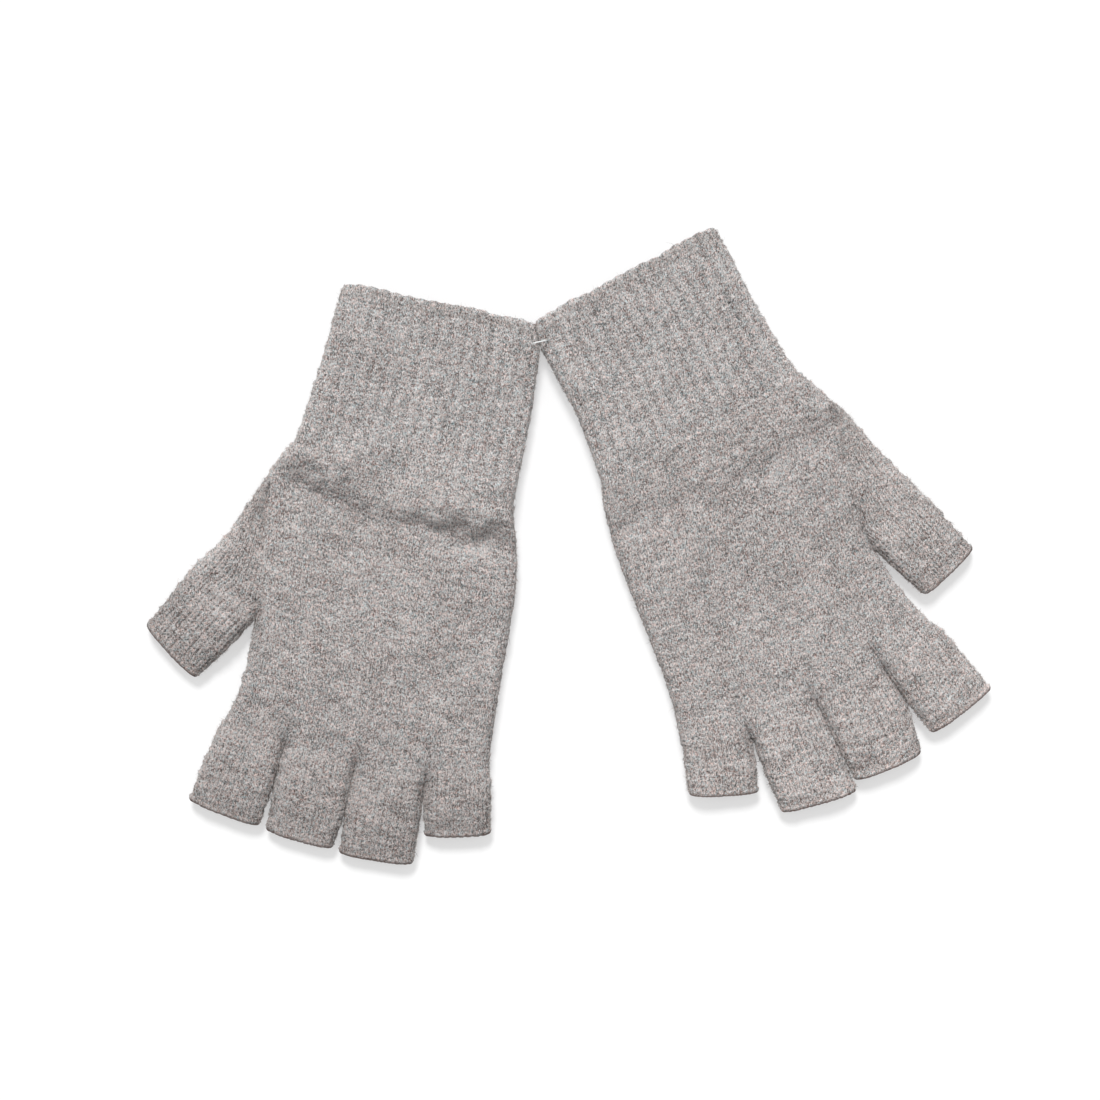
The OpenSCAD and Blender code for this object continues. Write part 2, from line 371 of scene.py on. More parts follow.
# %% Section of a flattened tube
def section(q, half_w, half_h, left_r, right_r):
    """Place across and up of the point q round a section. q goes from 0 to 1 over the top, thumb's
    side first, and from 1 to 2 back underneath. A layer's path is a fold's quarter ellipse, of radii
    left_r and half_h, then the flat, then the other fold's quarter ellipse."""
    t = np.where(q <= 1, q, 2 - q)
    left_len = math.pi / 2 * np.sqrt((left_r**2 + half_h**2) / 2)
    right_len = math.pi / 2 * np.sqrt((right_r**2 + half_h**2) / 2)
    flat = 2 * half_w - left_r - right_r
    path = t * (left_len + flat + right_len)
    left_turn = np.clip(path / left_len, 0, 1) * math.pi / 2
    right_turn = np.clip((path - left_len - flat) / right_len, 0, 1) * math.pi / 2
    x = -half_w + left_r * (1 - np.cos(left_turn)) + np.clip(path - left_len, 0, flat)
    x = x + right_r * np.sin(right_turn)
    z = half_h * (np.sin(left_turn) + np.cos(right_turn) - 1)
    return x, np.where(q <= 1, z, -z)


# %% Stitches as relief
# A leg of a stitch, in wales: where it starts, how far it leans out in a course, how thick it is
LEG_START, LEG_LEAN, LEG_WIDTH = 0.12, 0.22, 0.15


def v_stitch(u, v):
    """Height, 0 to 1, of plain knitting. A wale is 1 across and a course is 1 along. Each stitch is
    two legs that start near the wale's middle and lean outwards: a ridge round each leg's line, with
    the stitches before and after overlapping it."""
    across = np.abs(u - np.floor(u) - 0.5)
    height = np.zeros(np.broadcast(u, v).shape)
    for step in (-1, 0, 1):
        along = v - np.floor(v) - step
        line = LEG_START + LEG_LEAN * along
        leg = bell(across - line, LEG_WIDTH)
        ends = rise(along, -0.45, 0.1) * (1 - rise(along, 0.9, 1.45))
        height = np.maximum(height, leg * ends)
    return height


def lumps(u, v, seed):
    """Felted wool is never even: soft lumps about a stitch across, and a finer roughness."""
    return 0.20 * soft_noise(u, 1.2 * v, 1.25, seed) + 0.13 * soft_noise(u, 1.4 * v, 0.5, seed + 1)


# In wales and courses: how far the wales and the rows wander, how much the stitches differ in size
WALE_WANDER, ROW_WANDER, UNEVEN = 0.12, 0.25, 0.45
PLAIN_DEPTH, STALL_DEPTH = 0.54, 0.66
FURROW_WIDTH = 0.17


def plain_relief(u, v, seed, depth=PLAIN_DEPTH, between=0.0):
    """Plain knitting with every stitch a little different and the rows wandering slightly. between
    is the depth of the furrow that stretched fabric shows from one wale to the next."""
    u = u + WALE_WANDER * soft_noise(u, v, 5.0, seed)
    v = v + ROW_WANDER * soft_noise(u, v, 6.0, seed + 1)
    size = 1 + UNEVEN * soft_noise(u, v, 1.1, seed + 2)
    furrow = between * bell(u - np.round(u), FURROW_WIDTH)
    return depth * size * v_stitch(u, v) - furrow + lumps(u, v, seed + 3)


# Wales that the Vs are drawn at across a rib, the Vs' height and the purl bumps' height
RIB_WALES, RIB_STITCH, PURL_BUMP = 2.3, 0.48, 0.2


def rib_relief(ribs, v, seed, depth):
    """Two-by-two rib. A rib is 1 across: a rounded ridge that carries two wales of Vs, then a soft
    hollow where the two wales of purl stitches sink in, and show as one low bump to a course."""
    ribs = ribs + 0.05 * soft_noise(ribs, v, 3.0, seed)
    ridge = 0.5 + 0.5 * np.cos(2 * math.pi * (ribs - 0.5))
    u = (ribs - np.floor(ribs)) * RIB_WALES - (RIB_WALES - 1) / 2
    v = v + 0.3 * soft_noise(ribs, v, 2.5, seed + 1)
    size = 1 + 0.4 * soft_noise(2 * ribs, v, 1.1, seed + 2)
    purl = 0.5 + 0.5 * np.cos(2 * math.pi * v)
    return (depth * np.sqrt(ridge) + RIB_STITCH * ridge * size * v_stitch(u + 0.5, v)
            + PURL_BUMP * (1 - ridge) * purl + lumps(2 * ribs, v, seed + 3))


# %% [markdown]
# ## The fabric tube
# One function makes every tube: it lays the sections along the plan, adds the way the fabric lies,
# pushes the stitches out along the surface's own direction, and comes back inside as a plain inner
# face, so that the tube has the fabric's thickness and its mouths are open.

# %% Tube builder
# Grid points to a wale on the two layers, and to a course; rows inside, and round a mouth's lip
TOP_STEPS, UNDER_STEPS, ROW_STEPS = 6, 3, 4
INNER_ROWS, CAP_ROWS = 7, 5
FLOOR_GAP = 0.05
INNER_RELIEF = 0.15
# Small knots of felt on the side folds: their height, size in wales, and how far in they reach
KNOT_HEIGHT, KNOT_SIZE, KNOT_REACH, KNOT_SEED = 0.95, 1.15, 1.1, 77
LEAST_HEIGHT, LEAST_FOLD = 0.3, 0.4


def steps_round(wales):
    """Places round the tube, finer on the visible upper layer than on the one underneath."""
    top = np.arange(wales * TOP_STEPS) / (wales * TOP_STEPS)
    under = 1 + np.arange(wales * UNDER_STEPS) / (wales * UNDER_STEPS)
    return np.concatenate([top, under])


def outward(points):
    """The outward direction at each point of a grid that closes on itself both ways."""
    tall = np.concatenate([points[-1:], points, points[:1]])
    wide = np.concatenate([points[:, -1:], points, points[:, :1]], axis=1)
    down = np.gradient(tall, axis=0)[1:-1]
    side = np.gradient(wide, axis=1)[:, 1:-1]
    return unit(np.cross(side, down))


def unit(vectors):
    """The vectors scaled to a length of 1, and a zero vector left as it is."""
    return vectors / np.maximum(np.linalg.norm(vectors, axis=-1, keepdims=True), 1e-9)


def ring_faces(rows, cols):
    """Faces of a grid of rows and columns that closes on itself both ways."""
    r, c = np.meshgrid(np.arange(rows), np.arange(cols), indexing="ij")
    r1, c1 = (r + 1) % rows, (c + 1) % cols
    return np.stack([r * cols + c, r * cols + c1, r1 * cols + c1, r1 * cols + c], -1).reshape(-1, 4)


def constant(value):
    """The function that is the same value everywhere."""
    return lambda x: value + 0 * x


class Tube:
    """A flattened fabric tube on a plan, as one closed skin: the outer face, a rounded lip at the far
    mouth, the plain inner face, and a rounded lip at the near mouth.

    left(y), right(y): its sides; start(x), end(x): its two mouths; wales: its stitches across;
    courses: the course it starts and ends with; height(y): half its thickness; folds(y): the radii
    of its two side folds; lie(x, y), under(x, y): how far the two layers rise; shade(x, y): the
    painted shade, how much darker the yarn is painted in folds and creases and where the fabric
    slopes away from the light, and lighter below 0; relief(u, v): the stitches."""

    def __init__(self, plan, left, right, start, end, wales, courses, relief,
                 height=None, folds=None, lie=None, under=None, shade=None, lip=FABRIC):
        self.plan, self.wales = plan, wales
        self.left, self.right, self.start, self.end = left, right, start, end
        self.height = height or constant(HALF_HEIGHT)
        self.folds = folds or (lambda y: (HALF_HEIGHT + 0 * y, HALF_HEIGHT + 0 * y))
        self.lie = lie or (lambda x, y: 0 * x)
        self.under = under or (lambda x, y: 0 * x)
        self.shade = shade or (lambda x, y: 0 * x)
        first, last = courses
        count = max(3, round((last - first) * ROW_STEPS) + 1)
        turn = np.linspace(0, math.pi, CAP_ROWS + 2)[1:-1]
        v = np.concatenate([np.linspace(0, 1, count), np.ones(CAP_ROWS),
                            np.linspace(1, 0, INNER_ROWS), np.zeros(CAP_ROWS)])
        inset = np.concatenate([np.zeros(count), (1 - np.cos(turn)) / 2, np.ones(INNER_ROWS),
                                (1 + np.cos(turn)) / 2]) * FABRIC
        past = np.concatenate([np.zeros(count), np.sin(turn), np.zeros(INNER_ROWS), -np.sin(turn)])
        show = np.concatenate([np.ones(count), (1 + np.cos(turn)) / 2, np.full(INNER_ROWS, INNER_RELIEF),
                               (1 - np.cos(turn)) / 2])
        self.rim = np.concatenate([np.zeros(count), np.sin(turn), np.zeros(INNER_ROWS), np.sin(turn)])
        self.q, self.outer_rows = steps_round(wales), count
        grid = self.layer(self.q[None], v[:, None], inset[:, None], past[:, None] * lip / 2)
        self.u = self.q[None] * wales + 0 * v[:, None]
        self.course = first + (last - first) * v[:, None] + 0 * self.u
        near_fold = np.minimum(self.q, 2 - self.q) * wales
        knots = np.abs(soft_noise(self.course, self.u, KNOT_SIZE, KNOT_SEED))
        knots = KNOT_HEIGHT * bell(near_fold, KNOT_REACH) * knots
        self.relief = (relief(self.u, self.course) + knots) * show[:, None]
        self.points = grid + outward(grid) * self.relief[..., None]
        self.points[..., 2] = np.maximum(self.points[..., 2], FLOOR_GAP)
        # The painted shade at each point, which the finish reads to darken the yarn's colour
        self.crevice = self.shade(grid[..., 0], grid[..., 1])
        self.normal = outward(self.points)

    def layer(self, q, v, inset, past):
        """Grid (rows, columns, 3) in the plan's millimetres: inset is how far a row lies inside the
        outer face, and past how far it stands beyond the mouth."""
        left_y = right_y = self.start(0 * v) + (self.end(0 * v) - self.start(0 * v)) * v
        for _ in range(3):
            left_y, right_y = self.along(self.left(left_y), v), self.along(self.right(right_y), v)
        left_x, right_x = self.left(left_y) + inset, self.right(right_y) - inset
        mid_y = self.along((left_x + right_x) / 2, v)
        half_h = np.maximum(self.height(mid_y) - inset, LEAST_HEIGHT)
        left_r, right_r = (np.maximum(r - inset, LEAST_FOLD) for r in self.folds(mid_y))
        x, z = section(q, (right_x - left_x) / 2, half_h, left_r, right_r)
        x = x + (left_x + right_x) / 2
        y = self.along(x, v) + past
        upper, lower = np.clip(z / half_h, 0, 1), np.clip(-z / half_h, 0, 1)
        z = z + HALF_HEIGHT + FLOOR_GAP + upper * self.lie(x, y) + lower * self.under(x, y)
        return np.stack([x, y, z], axis=-1)

    def along(self, x, v):
        """Place along the plan at the share v of the way from one mouth to the other."""
        first, last = self.start(x), self.end(x)
        return first + (last - first) * v

    def mesh(self, name, material):
        """The skin as an object. Its UV map holds wales across and courses along."""
        count, cols = self.points.shape[:2]
        faces = ring_faces(count, cols)
        u_next = np.concatenate([self.u[:, 1:], np.full((count, 1), 2.0 * self.wales)], axis=1)
        v, v_next = self.course, np.concatenate([self.course[1:], self.course[:1]])
        corners = [(self.u, v), (u_next, v), (u_next, v_next), (self.u, v_next)]
        uv = np.stack([np.stack(c, -1) for c in corners], axis=2).reshape(-1, 4, 2)
        if self.plan.mirrored:
            faces, uv = faces[:, ::-1], uv[:, ::-1]
        x, y, z = np.moveaxis(self.points, -1, 0)
        rim = self.rim[:, None] + 0 * self.u
        obj = link(name, self.plan.place(x, y, z).reshape(-1, 3), faces, uv, relief=self.relief,
                   rim=rim, crevice=self.crevice)
        obj.data.materials.append(material)
        print(name, 2 * len(faces), "triangles")
        return obj


# %% [markdown]
# ## The yarn
# Heather yarn is spun from fibres of several greys and browns. Close up it is a fine speckle that
# runs in curls and short locks, further off it is slightly streaky along the courses. The hollows
# between stitches are darker, because less light gets in and the fibres stand thinner there. A bound
# edge is drawn tight; its bead is patched russet and its lip round the mouth is dark brown, and a
# glint is a single pale fibre on top.

# %% Heather knit finish
DARK, LIGHT = linear(0.335, 0.345, 0.34), linear(0.865, 0.845, 0.835)
PALE, UMBER = linear(0.95, 0.94, 0.94), linear(0.38, 0.29, 0.26)
RUSSET = linear(0.66, 0.55, 0.50)
# How strongly each pattern moves the yarn between dark and light, and where the middle lies
FINE_SPECK, LOCK_SPECK, STREAK, MIDDLE_SHADE = 4.2, 1.5, 0.35, 0.455
MOTTLES = ((1.1, 0.75), (2.9, 0.45), (13.0, 0.48))
PLAIN_LEVEL, HOLLOW = 0.25, 0.55
LOCK_TURNS = ((20, 3.1), (75, 11.7), (-35, 23.9))
# The tint multiplies the colour: a part that changes from speck to speck, and a steady part
TINT_SPREAD, TINT = (0.95, 0.0, -0.25), (0.534, 0.994, 1.124)
WARM_TINT = (0.012, -0.004, -0.010)


def heather(name, tone=1.0, hollow=HOLLOW, brown=0.0, warm=0.0):
    """The yarn's finish. tone lightens or darkens it, hollow is how much the hollows between
    stitches darken, brown is how far an edge's bead turns russet and its lip dark brown, and warm
    moves the whole mix towards red, or towards green below 0."""
    f = Finish(name)
    uv = f.add("ShaderNodeUVMap", {"uv_map": "knit"})
    place = f.add("ShaderNodeTexCoord", output=3)
    relief = f.add("ShaderNodeAttribute", {"attribute_name": "relief"}, output=2)

    def grain(size, detail=1.0, curl=0.0):
        """Specks size millimetres across, pulled into curls where asked."""
        sockets = {"Vector": place, "Scale": 1 / (size * MM), "Detail": detail, "Roughness": 0.6,
                   "Distortion": curl}
        return f.add("ShaderNodeTexNoise", {}, sockets)

    def patches(size, threshold, sharpness):
        """From 0 to 1: where a grain is above its threshold, with an edge of that sharpness."""
        return ((grain(size) - threshold) * sharpness).clamped()

    def strands(turn, start, width=0.30, length=1.1):
        """Streaks as wide and long as a lock of fibres, turned on the fabric."""
        scale = (1 / (width * MM), 1 / (length * MM), 1 / (width * MM))
        vector = f.add("ShaderNodeMapping", {"vector_type": "POINT"},
                       {"Vector": place, "Rotation": (0, 0, math.radians(turn)), "Scale": scale,
                        "Location": (start, start * 0.37, start * 0.11)})
        return f.add("ShaderNodeTexNoise", {}, {"Vector": vector, "Scale": 1.0, "Detail": 1.0})

    fine = grain(0.36, 1.0, 1.4)
    first, second, third = (strands(turn, start) for turn, start in LOCK_TURNS)
    locks = first + second + third - 1.5
    streak_place = f.add("ShaderNodeVectorMath", {"operation": "MULTIPLY"}, {0: uv, 1: (0.22, 1.0, 1.0)})
    streak = f.add("ShaderNodeTexNoise", {}, {"Vector": streak_place, "Scale": 0.9, "Detail": 2.0})
    shade = (fine - 0.5) * FINE_SPECK + locks * LOCK_SPECK
    for size, strength in MOTTLES:
        shade = shade + (grain(size) - 0.5) * strength
    shade = shade + (streak - 0.5) * STREAK + (relief - PLAIN_LEVEL) * hollow + MIDDLE_SHADE
    dark = f.mix(patches(0.9, 0.47, 7.0), DARK, UMBER)
    grey = f.mix(shade.clamped(), dark, LIGHT)
    steady = tuple(part + warm * more for part, more in zip(TINT, WARM_TINT))
    tint = f.add("ShaderNodeVectorMath", {"operation": "MULTIPLY_ADD"},
                 {0: grain(0.8, 2.0, 0.5), 1: TINT_SPREAD, 2: steady})
    coloured = f.add("ShaderNodeVectorMath", {"operation": "MULTIPLY"}, {0: grey, 1: tint})
    glint = ((strands(50, 41.3, 0.28, 0.9) - 0.62) * 9.0).clamped() * 0.7
    coloured = f.mix(glint, coloured, PALE)
    if brown:
        rim = f.add("ShaderNodeAttribute", {"attribute_name": "rim"}, output=2)
        coloured = f.mix(patches(1.3, 0.42, 4.5) * (0.35 * brown), coloured, RUSSET)
        coloured = f.mix((rim * 1.6).clamped() * (0.9 * brown), coloured, UMBER)
    # Painted shade: the colour is darkened by the painted shade of folds, creases and sloping fingers, and
    # lightened where it is below 0
    crevice = f.add("ShaderNodeAttribute", {"attribute_name": "crevice"}, output=2)
    toned = f.add("ShaderNodeVectorMath", {"operation": "SCALE"},
                  {0: coloured, "Scale": (1 - crevice) * tone})
    fuzz = locks * 1.2 + fine * 1.2
    bump = f.add("ShaderNodeBump", {}, {"Strength": 0.8, "Distance": 0.25 * MM, "Height": fuzz})
    f.set(Base_Color=toned, Roughness=0.94, Specular_IOR_Level=0.15, Sheen_Weight=0.2,
          Sheen_Roughness=0.45, Normal=bump)
    return f.material


KNIT = heather("heather_plain", 0.985)
STALL_KNIT = heather("heather_stall", 0.985, 0.75, warm=0.7)
RIBBED = heather("heather_rib", 1.02, 0.28, warm=-1.0)
EDGE = heather("heather_edge", 1.02, 0.50, 0.8)
print("finishes ready")

# %% [markdown]
# ## Loose fibres
# Brushed wool has a halo: short fibres that lie on the surface and stand out past the outline. Each
# one here is a thin bent blade of three triangles, scattered over a tube and leaning with its own curl.
# A real fibre is round, but at this size a blade looks the same and costs far less.

# %% Halo of fibres
FIBRE_COLOURS = (linear(0.83, 0.815, 0.80), linear(0.37, 0.355, 0.35), linear(0.62, 0.53, 0.49))
FIBRE_SHARES = (0.48, 0.34, 0.18)
# Millimetres: the shortest fibre, how deep it is rooted, its least and most half width, and how
# close to the floor it may come
FIBRE_LEAST, FIBRE_ROOT = 0.35, 0.10
FIBRE_THIN, FIBRE_THICK = 0.035, 0.070
FIBRE_FLOOR = 0.12
UNDER_SHARE, FOLD_SHARE, FOLD_REACH = 0.12, 3.5, 0.9


def fibre_finish(name, colour):
    f = Finish(name)
    f.set(Base_Color=colour, Roughness=0.8, Specular_IOR_Level=0.2, Sheen_Weight=0.1)
    return f.material


FIBRES = [fibre_finish(f"fibre_{n}", c) for n, c in zip(("light", "dark", "brown"), FIBRE_COLOURS)]


def halo(tube, name, count, seed):
    """Fibres on a tube. A fibre starts just inside the fabric at a random grid point, more often near
    a side fold and seldom underneath. Its line is root + length * (direction * s + bend * s**2 / 2)
    at s of 0, a half and 1, and its width is across that line."""
    rng = np.random.default_rng(seed)
    fold = np.minimum(np.abs(tube.q), np.minimum(np.abs(tube.q - 1), np.abs(tube.q - 2)))
    by_fold = 1 + FOLD_SHARE * bell(fold * tube.wales, FOLD_REACH)
    weight = np.where(tube.q <= 1, 1.0, UNDER_SHARE) * by_fold
    weight = weight * np.where(tube.q < 1, 1 / TOP_STEPS, 1 / UNDER_STEPS)
    col = rng.choice(len(tube.q), count, p=weight / weight.sum())
    row = rng.integers(0, tube.outer_rows + CAP_ROWS // 2, count)
    root, normal = tube.points[row, col], tube.normal[row, col]
    side = unit(np.cross(normal, rng.normal(size=(count, 3))))
    length = rng.gamma(4.0, 0.22, count)[:, None] + FIBRE_LEAST
    lift = rng.beta(1.1, 4.0, count)[:, None] * 0.8 + 0.05
    direction = unit(side + normal * lift)
    bend = unit(np.cross(normal, side)) * rng.normal(0, 1.1, (count, 1)) - normal * lift * 0.7
    steps = np.array([0, 0.5, 1.0])[None, :, None]
    line = (root - normal * FIBRE_ROOT)[:, None] + length[:, None] * (
        direction[:, None] * steps + 0.5 * bend[:, None] * steps**2)
    across = unit(np.cross(direction, normal + 0.5 * rng.normal(size=(count, 3))))
    taper = np.array([1, 0.8, 0.0])[None, :, None]
    width = rng.uniform(FIBRE_THIN, FIBRE_THICK, count)[:, None, None] * taper
    line[..., 2] = np.maximum(line[..., 2], FIBRE_FLOOR)
    one, two = line - across[:, None] * width, line + across[:, None] * width
    blade = np.stack([one[:, 0], two[:, 0], two[:, 1], one[:, 1], line[:, 2]], axis=1)
    points = tube.plan.place(blade[..., 0], blade[..., 1], blade[..., 2]).reshape(-1, 3)
    pattern = np.array([[0, 1, 2], [0, 2, 3], [3, 2, 4]])
    faces = (np.arange(count)[:, None, None] * 5 + pattern[None]).reshape(-1, 3)
    obj = link(name, points, faces, smooth=False)
    for material in FIBRES:
        obj.data.materials.append(material)
    kind = rng.choice(3, count, p=FIBRE_SHARES)
    obj.data.polygons.foreach_set("material_index", np.repeat(kind, len(pattern)).astype(np.int32))
    print(name, len(faces), "triangles")
    return obj


# %% [markdown]
# ## The hand
# The hand is one wide tube from the wrist to the roots of the fingers. Its front follows the four root
# lines, and between two fingers it dips into a crease that closes at the fork. Just below the ribs the
# plain fabric puffs up and folds over itself.

# %% How the fabric lies
# The wrist's fold as stations: place across, how far its crest is from the cuff's edge, its strength
WRIST_CREST = {
    "left": [(-46, 67, 1.0), (-28, 70.5, 1.15), (-10, 75, 0.8), (3, 76.5, 0.5), (16, 75, 1.1),
             (28, 74, 1.3), (38, 71.5, 1.5), (48, 70.5, 1.1)],
    "right": [(-46, 75, 0.35), (-30, 79, 0.5), (-5, 80, 0.35), (15, 79, 0.3), (30, 76, 0.3),
              (46, 73, 0.35)],
}
# Along the glove: where the puff climbs, and drops about its crest; where the thumb's crease comes
# in and runs out; and the same for how dark it is
PUFF_CLIMB, PUFF_DROP = (44, 66), (3.5, 7.0)
GROOVE_IN, GROOVE_OUT = (106, 127), (130, 134)
DARK_IN, DARK_OUT = (110, 128), (131, 136)
# Millimetres that the fold puffs up, that it dips behind the crest, that the thumb's crease sinks,
# and that the tack draws the fabric down
PUFF, VALLEY, THUMB_GROOVE, TACK_SQUEEZE = 2.7, 1.5, 1.7, 0.6
THUMB_FORK = 131.0
# Shares of the light that the wrist's fold, the thumb's crease and a finger's crease keep back
WRIST_TUCK, THUMB_TUCK, FORK_TUCK = 0.13, 0.24, 0.24


def lie_of(side):
    """Two functions of a place on a glove: the rise of its upper layer in millimetres, and how much
    painted shade darkens the yarn there. The rise is wide low hills, and a puff at the wrist that
    climbs slowly from the cuff and drops quickly on the fingers' side, along a line that wanders."""
    seed = 5 if side == "left" else 9
    edge = soft_line(PALM[side], 1)
    post = np.array([JOINTS[f"{side}_tack_swivel"]["pos_m"][:2]])
    tack_x, tack_y = (float(c[0]) for c in GLOVE[side].local(post))
    crest_at = soft_line(WRIST_CREST[side], 1, 6.0)
    strength = soft_line(WRIST_CREST[side], 2, 6.0)

    def wandering(x):
        return crest_at(x) + 1.0 * soft_noise(x, 0 * x, 7.0, seed + 2)

    def lie(x, y):
        hills = 0.5 * soft_noise(x, y, 22.0, seed) + 0.35 * soft_noise(x, y, 9.0, seed + 1)
        crest = wandering(x)
        soft = 1.6 * soft_noise(x, y, 5.0, seed + 4)
        before, after = PUFF_DROP
        puff = PUFF * rise(y, *PUFF_CLIMB) * (1 - rise(y + soft, crest - before, crest + after))
        valley = -VALLEY * bell(y + soft - crest - after, 5.0)
        bulge = 0.8 * rise(y, 50, 62) * (1 - rise(y, 62, 72)) * soft_noise(x, y, 8.0, seed + 5)
        thumb_line = bell(x - edge(y) - 1.0, 2.4)
        groove = THUMB_GROOVE * thumb_line * rise(y, *GROOVE_IN) * (1 - rise(y, *GROOVE_OUT))
        squeeze = TACK_SQUEEZE * np.exp(-((x - tack_x) ** 2 + (y - tack_y) ** 2) / 40.0)
        return hills + strength(x) * (puff + valley) + bulge - groove - squeeze

    def fold_shade(x, y):
        """Share of the light that the wrist's fold and the thumb's crease keep from the yarn."""
        crest = wandering(x)
        soft = 2.2 * soft_noise(x, y, 5.0, seed + 4)
        patchy = 0.75 + 0.5 * soft_noise(x, y, 6.0, seed + 7)
        band = bell(y + soft - crest - 5.0, 4.0) * patchy
        thumb = bell(x - edge(y) - 0.5, 2.6) * rise(y, *DARK_IN) * (1 - rise(y, *DARK_OUT))
        return WRIST_TUCK * strength(x) * band + THUMB_TUCK * thumb

    return lie, fold_shade


LIE, FOLD_SHADE = {}, {}
for side in SIDES:
    LIE[side], FOLD_SHADE[side] = lie_of(side)
wrist_middle = LIE["left"](np.zeros(1), np.full(1, CUFF_LEN))
print("rise at the left wrist's middle", np.round(wrist_middle, 2))


def root_corners(side):
    """Both ends of each finger's root line, in the glove's plan, in order from index to little."""
    points = []
    for f in FINGERS[1:]:
        plan = ROOT[side][f]
        reach = np.array([[STALL[side][f][0][0]], [STALL[side][f][1][0]]])
        points.append(np.stack(GLOVE[side].local(plan.origin + MM * reach * plan.across), axis=-1))
    return np.array(points)


FINGER_FOLD = 5.0
HAND_WALES, HAND_COURSES = 38, 64
HAND_SEED = {"left": 100, "right": 200}
# Painted shade of the fingers and the thumb over the hand's: darker as they slope away from the light, and
# painted lighter below 0
FINGER_PAINTED_SHADE = {"left": 0.20, "right": -0.07}
THUMB_PAINTED_SHADE = {"left": 0.13, "right": -0.04}


def hand_tube(side):
    """The hand from the wrist to the finger roots. Its front is the line through the ends of the four
    roots, carried on past both sides."""
    corners = root_corners(side)
    line = corners.reshape(-1, 2)
    slope = (line[1] - line[0]) / (line[1, 0] - line[0, 0])
    tail = (line[-1] - line[-2]) / (line[-1, 0] - line[-2, 0])
    reach = 20
    line = np.concatenate([[line[0] - reach * slope], line, [line[-1] + reach * tail]])
    forks = (corners[:-1, 1] + corners[1:, 0]) / 2

    def front(x):
        return np.interp(x, line[:, 0], line[:, 1])

    def crease(x, y):
        """How far both layers sink towards each other beside a fork: the fold's round, coming in
        over the last stretch before the root line."""
        sink = 0 * x
        for fx, fy in forks:
            away = np.abs(x - fx)
            depth = HALF_HEIGHT - 0.5
            inward = np.clip(1 - away / FINGER_FOLD, 0, 1)
            round_in = depth * (1 - np.sqrt(1 - inward**2))
            groove = 0.9 * bell(away, 1.6) * rise(y, fy - 14, fy - 4)
            sink = sink + round_in * rise(y, fy - 7, fy) ** 2 + groove * (1 - rise(y, fy - 7, fy))
        return sink

    def shade(x, y):
        """Painted shade, darker beside each fork. Towards the fingers the yarn takes on their own painted
        shade.
        """
        beside = sum(bell(x - fx, 2.6) * rise(y, fy - 15, fy - 2) for fx, fy in forks)
        return FOLD_SHADE[side](x, y) + FORK_TUCK * beside + 0.5 * FINGER_PAINTED_SHADE[side] * rise(y, 118, 172)

    def folds(y):
        """Round folds, but nearly a wall on the thumb's side along the gusset."""
        walled = rise(y, 81, 90) * (1 - rise(y, THUMB_FORK - 6, THUMB_FORK + 2))
        return HALF_HEIGHT * (1 - walled) + WALL_FOLD * walled, HALF_HEIGHT + 0 * y

    def lie(x, y):
        return LIE[side](x, y) * (1 - 0.6 * rise(y, 150, 168)) - crease(x, y)

    return Tube(
        GLOVE[side], soft_line(PALM[side], 1), soft_line(PALM[side], 2),
        constant(CUFF_LEN - 0.8), front, HAND_WALES, (0, HAND_COURSES),
        lambda u, v: plain_relief(u, v, HAND_SEED[side]), folds=folds, lie=lie, under=crease,
        shade=shade)


def finish_piece(node):
    """Hides the design's node that the piece stands for."""
    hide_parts(node)


def bend_at(obj, a, b, plan, start, end):
    """Bakes the piece's place into its points. It works out the points at start and end along the plan but
    does not bend the piece, and a and b are not used.
    """
    first, last = (np.append(plan.origin + MM * d * plan.along, HALF_HEIGHT * MM) for d in (start, end))
    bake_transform(obj)


WRIST_BLEND = (CUFF_LEN - 0.5, CUFF_LEN + 15)
# Fibres on each kind of tube, and the seeds of their order on the left and right glove
FIBRE_COUNT = {"hand": 26000, "gusset": 6500, "cuff": 20000, "cast_on": 4200, "stall": 4300}
FIBRE_SEED = {"hand": (31, 32), "gusset": (33, 34), "cuff": (35, 36), "cast_on": (37, 38)}


def glove_halo(tube, side, part):
    seed = FIBRE_SEED[part][SIDES.index(side)]
    return halo(tube, f"{side}_{part}_fibres", FIBRE_COUNT[part], seed)


for side in SIDES:
    tube = hand_tube(side)
    hand = tube.mesh(f"{side}_hand_knit", KNIT)
    fuzz = glove_halo(tube, side, "hand")
    for obj in (hand, fuzz):
        bend_at(obj, f"{side}_cuff", f"{side}_hand", GLOVE[side], *WRIST_BLEND)
        finish_piece(f"{side}_hand")

# %% [markdown]
# ## The thumb's gusset
# Extra wales, added at the thumb's side, make room for the ball of the thumb. They run along the
# thumb's own direction. The gusset is a long, pointed tube that stands wall to wall with the hand.

# %% Thumb gusset
# The gusset's outer side as stations: how far from the cuff's edge, and the place across
GUSSET_OUTSIDE = {
    "left": [(68, -32.5), (72, -36.6), (76, -40.0), (80, -42.4), (84, -44.0), (90, -45.9), (101, -49.4),
             (111, -54.7), (118, -59.2)],
    "right": [(68, -32.5), (72, -36.4), (76, -39.6), (80, -42.4), (84, -43.8), (90, -45.1), (101, -47.1),
              (111, -49.8), (120, -52.5)],
}
GUSSET_START, OVERLAP = 72.0, 1.6
GUSSET_WALES, GUSSET_COURSES = 14, 32
GUSSET_SEED = {"left": 140, "right": 240}
GUSSET_SINK = 0.12
TIP_HEIGHT, TIP_LENGTH, TIP_WIDTH = 0.35, 10, 2.0
THUMB_FURROW = {"left": 0.17, "right": 0.10}


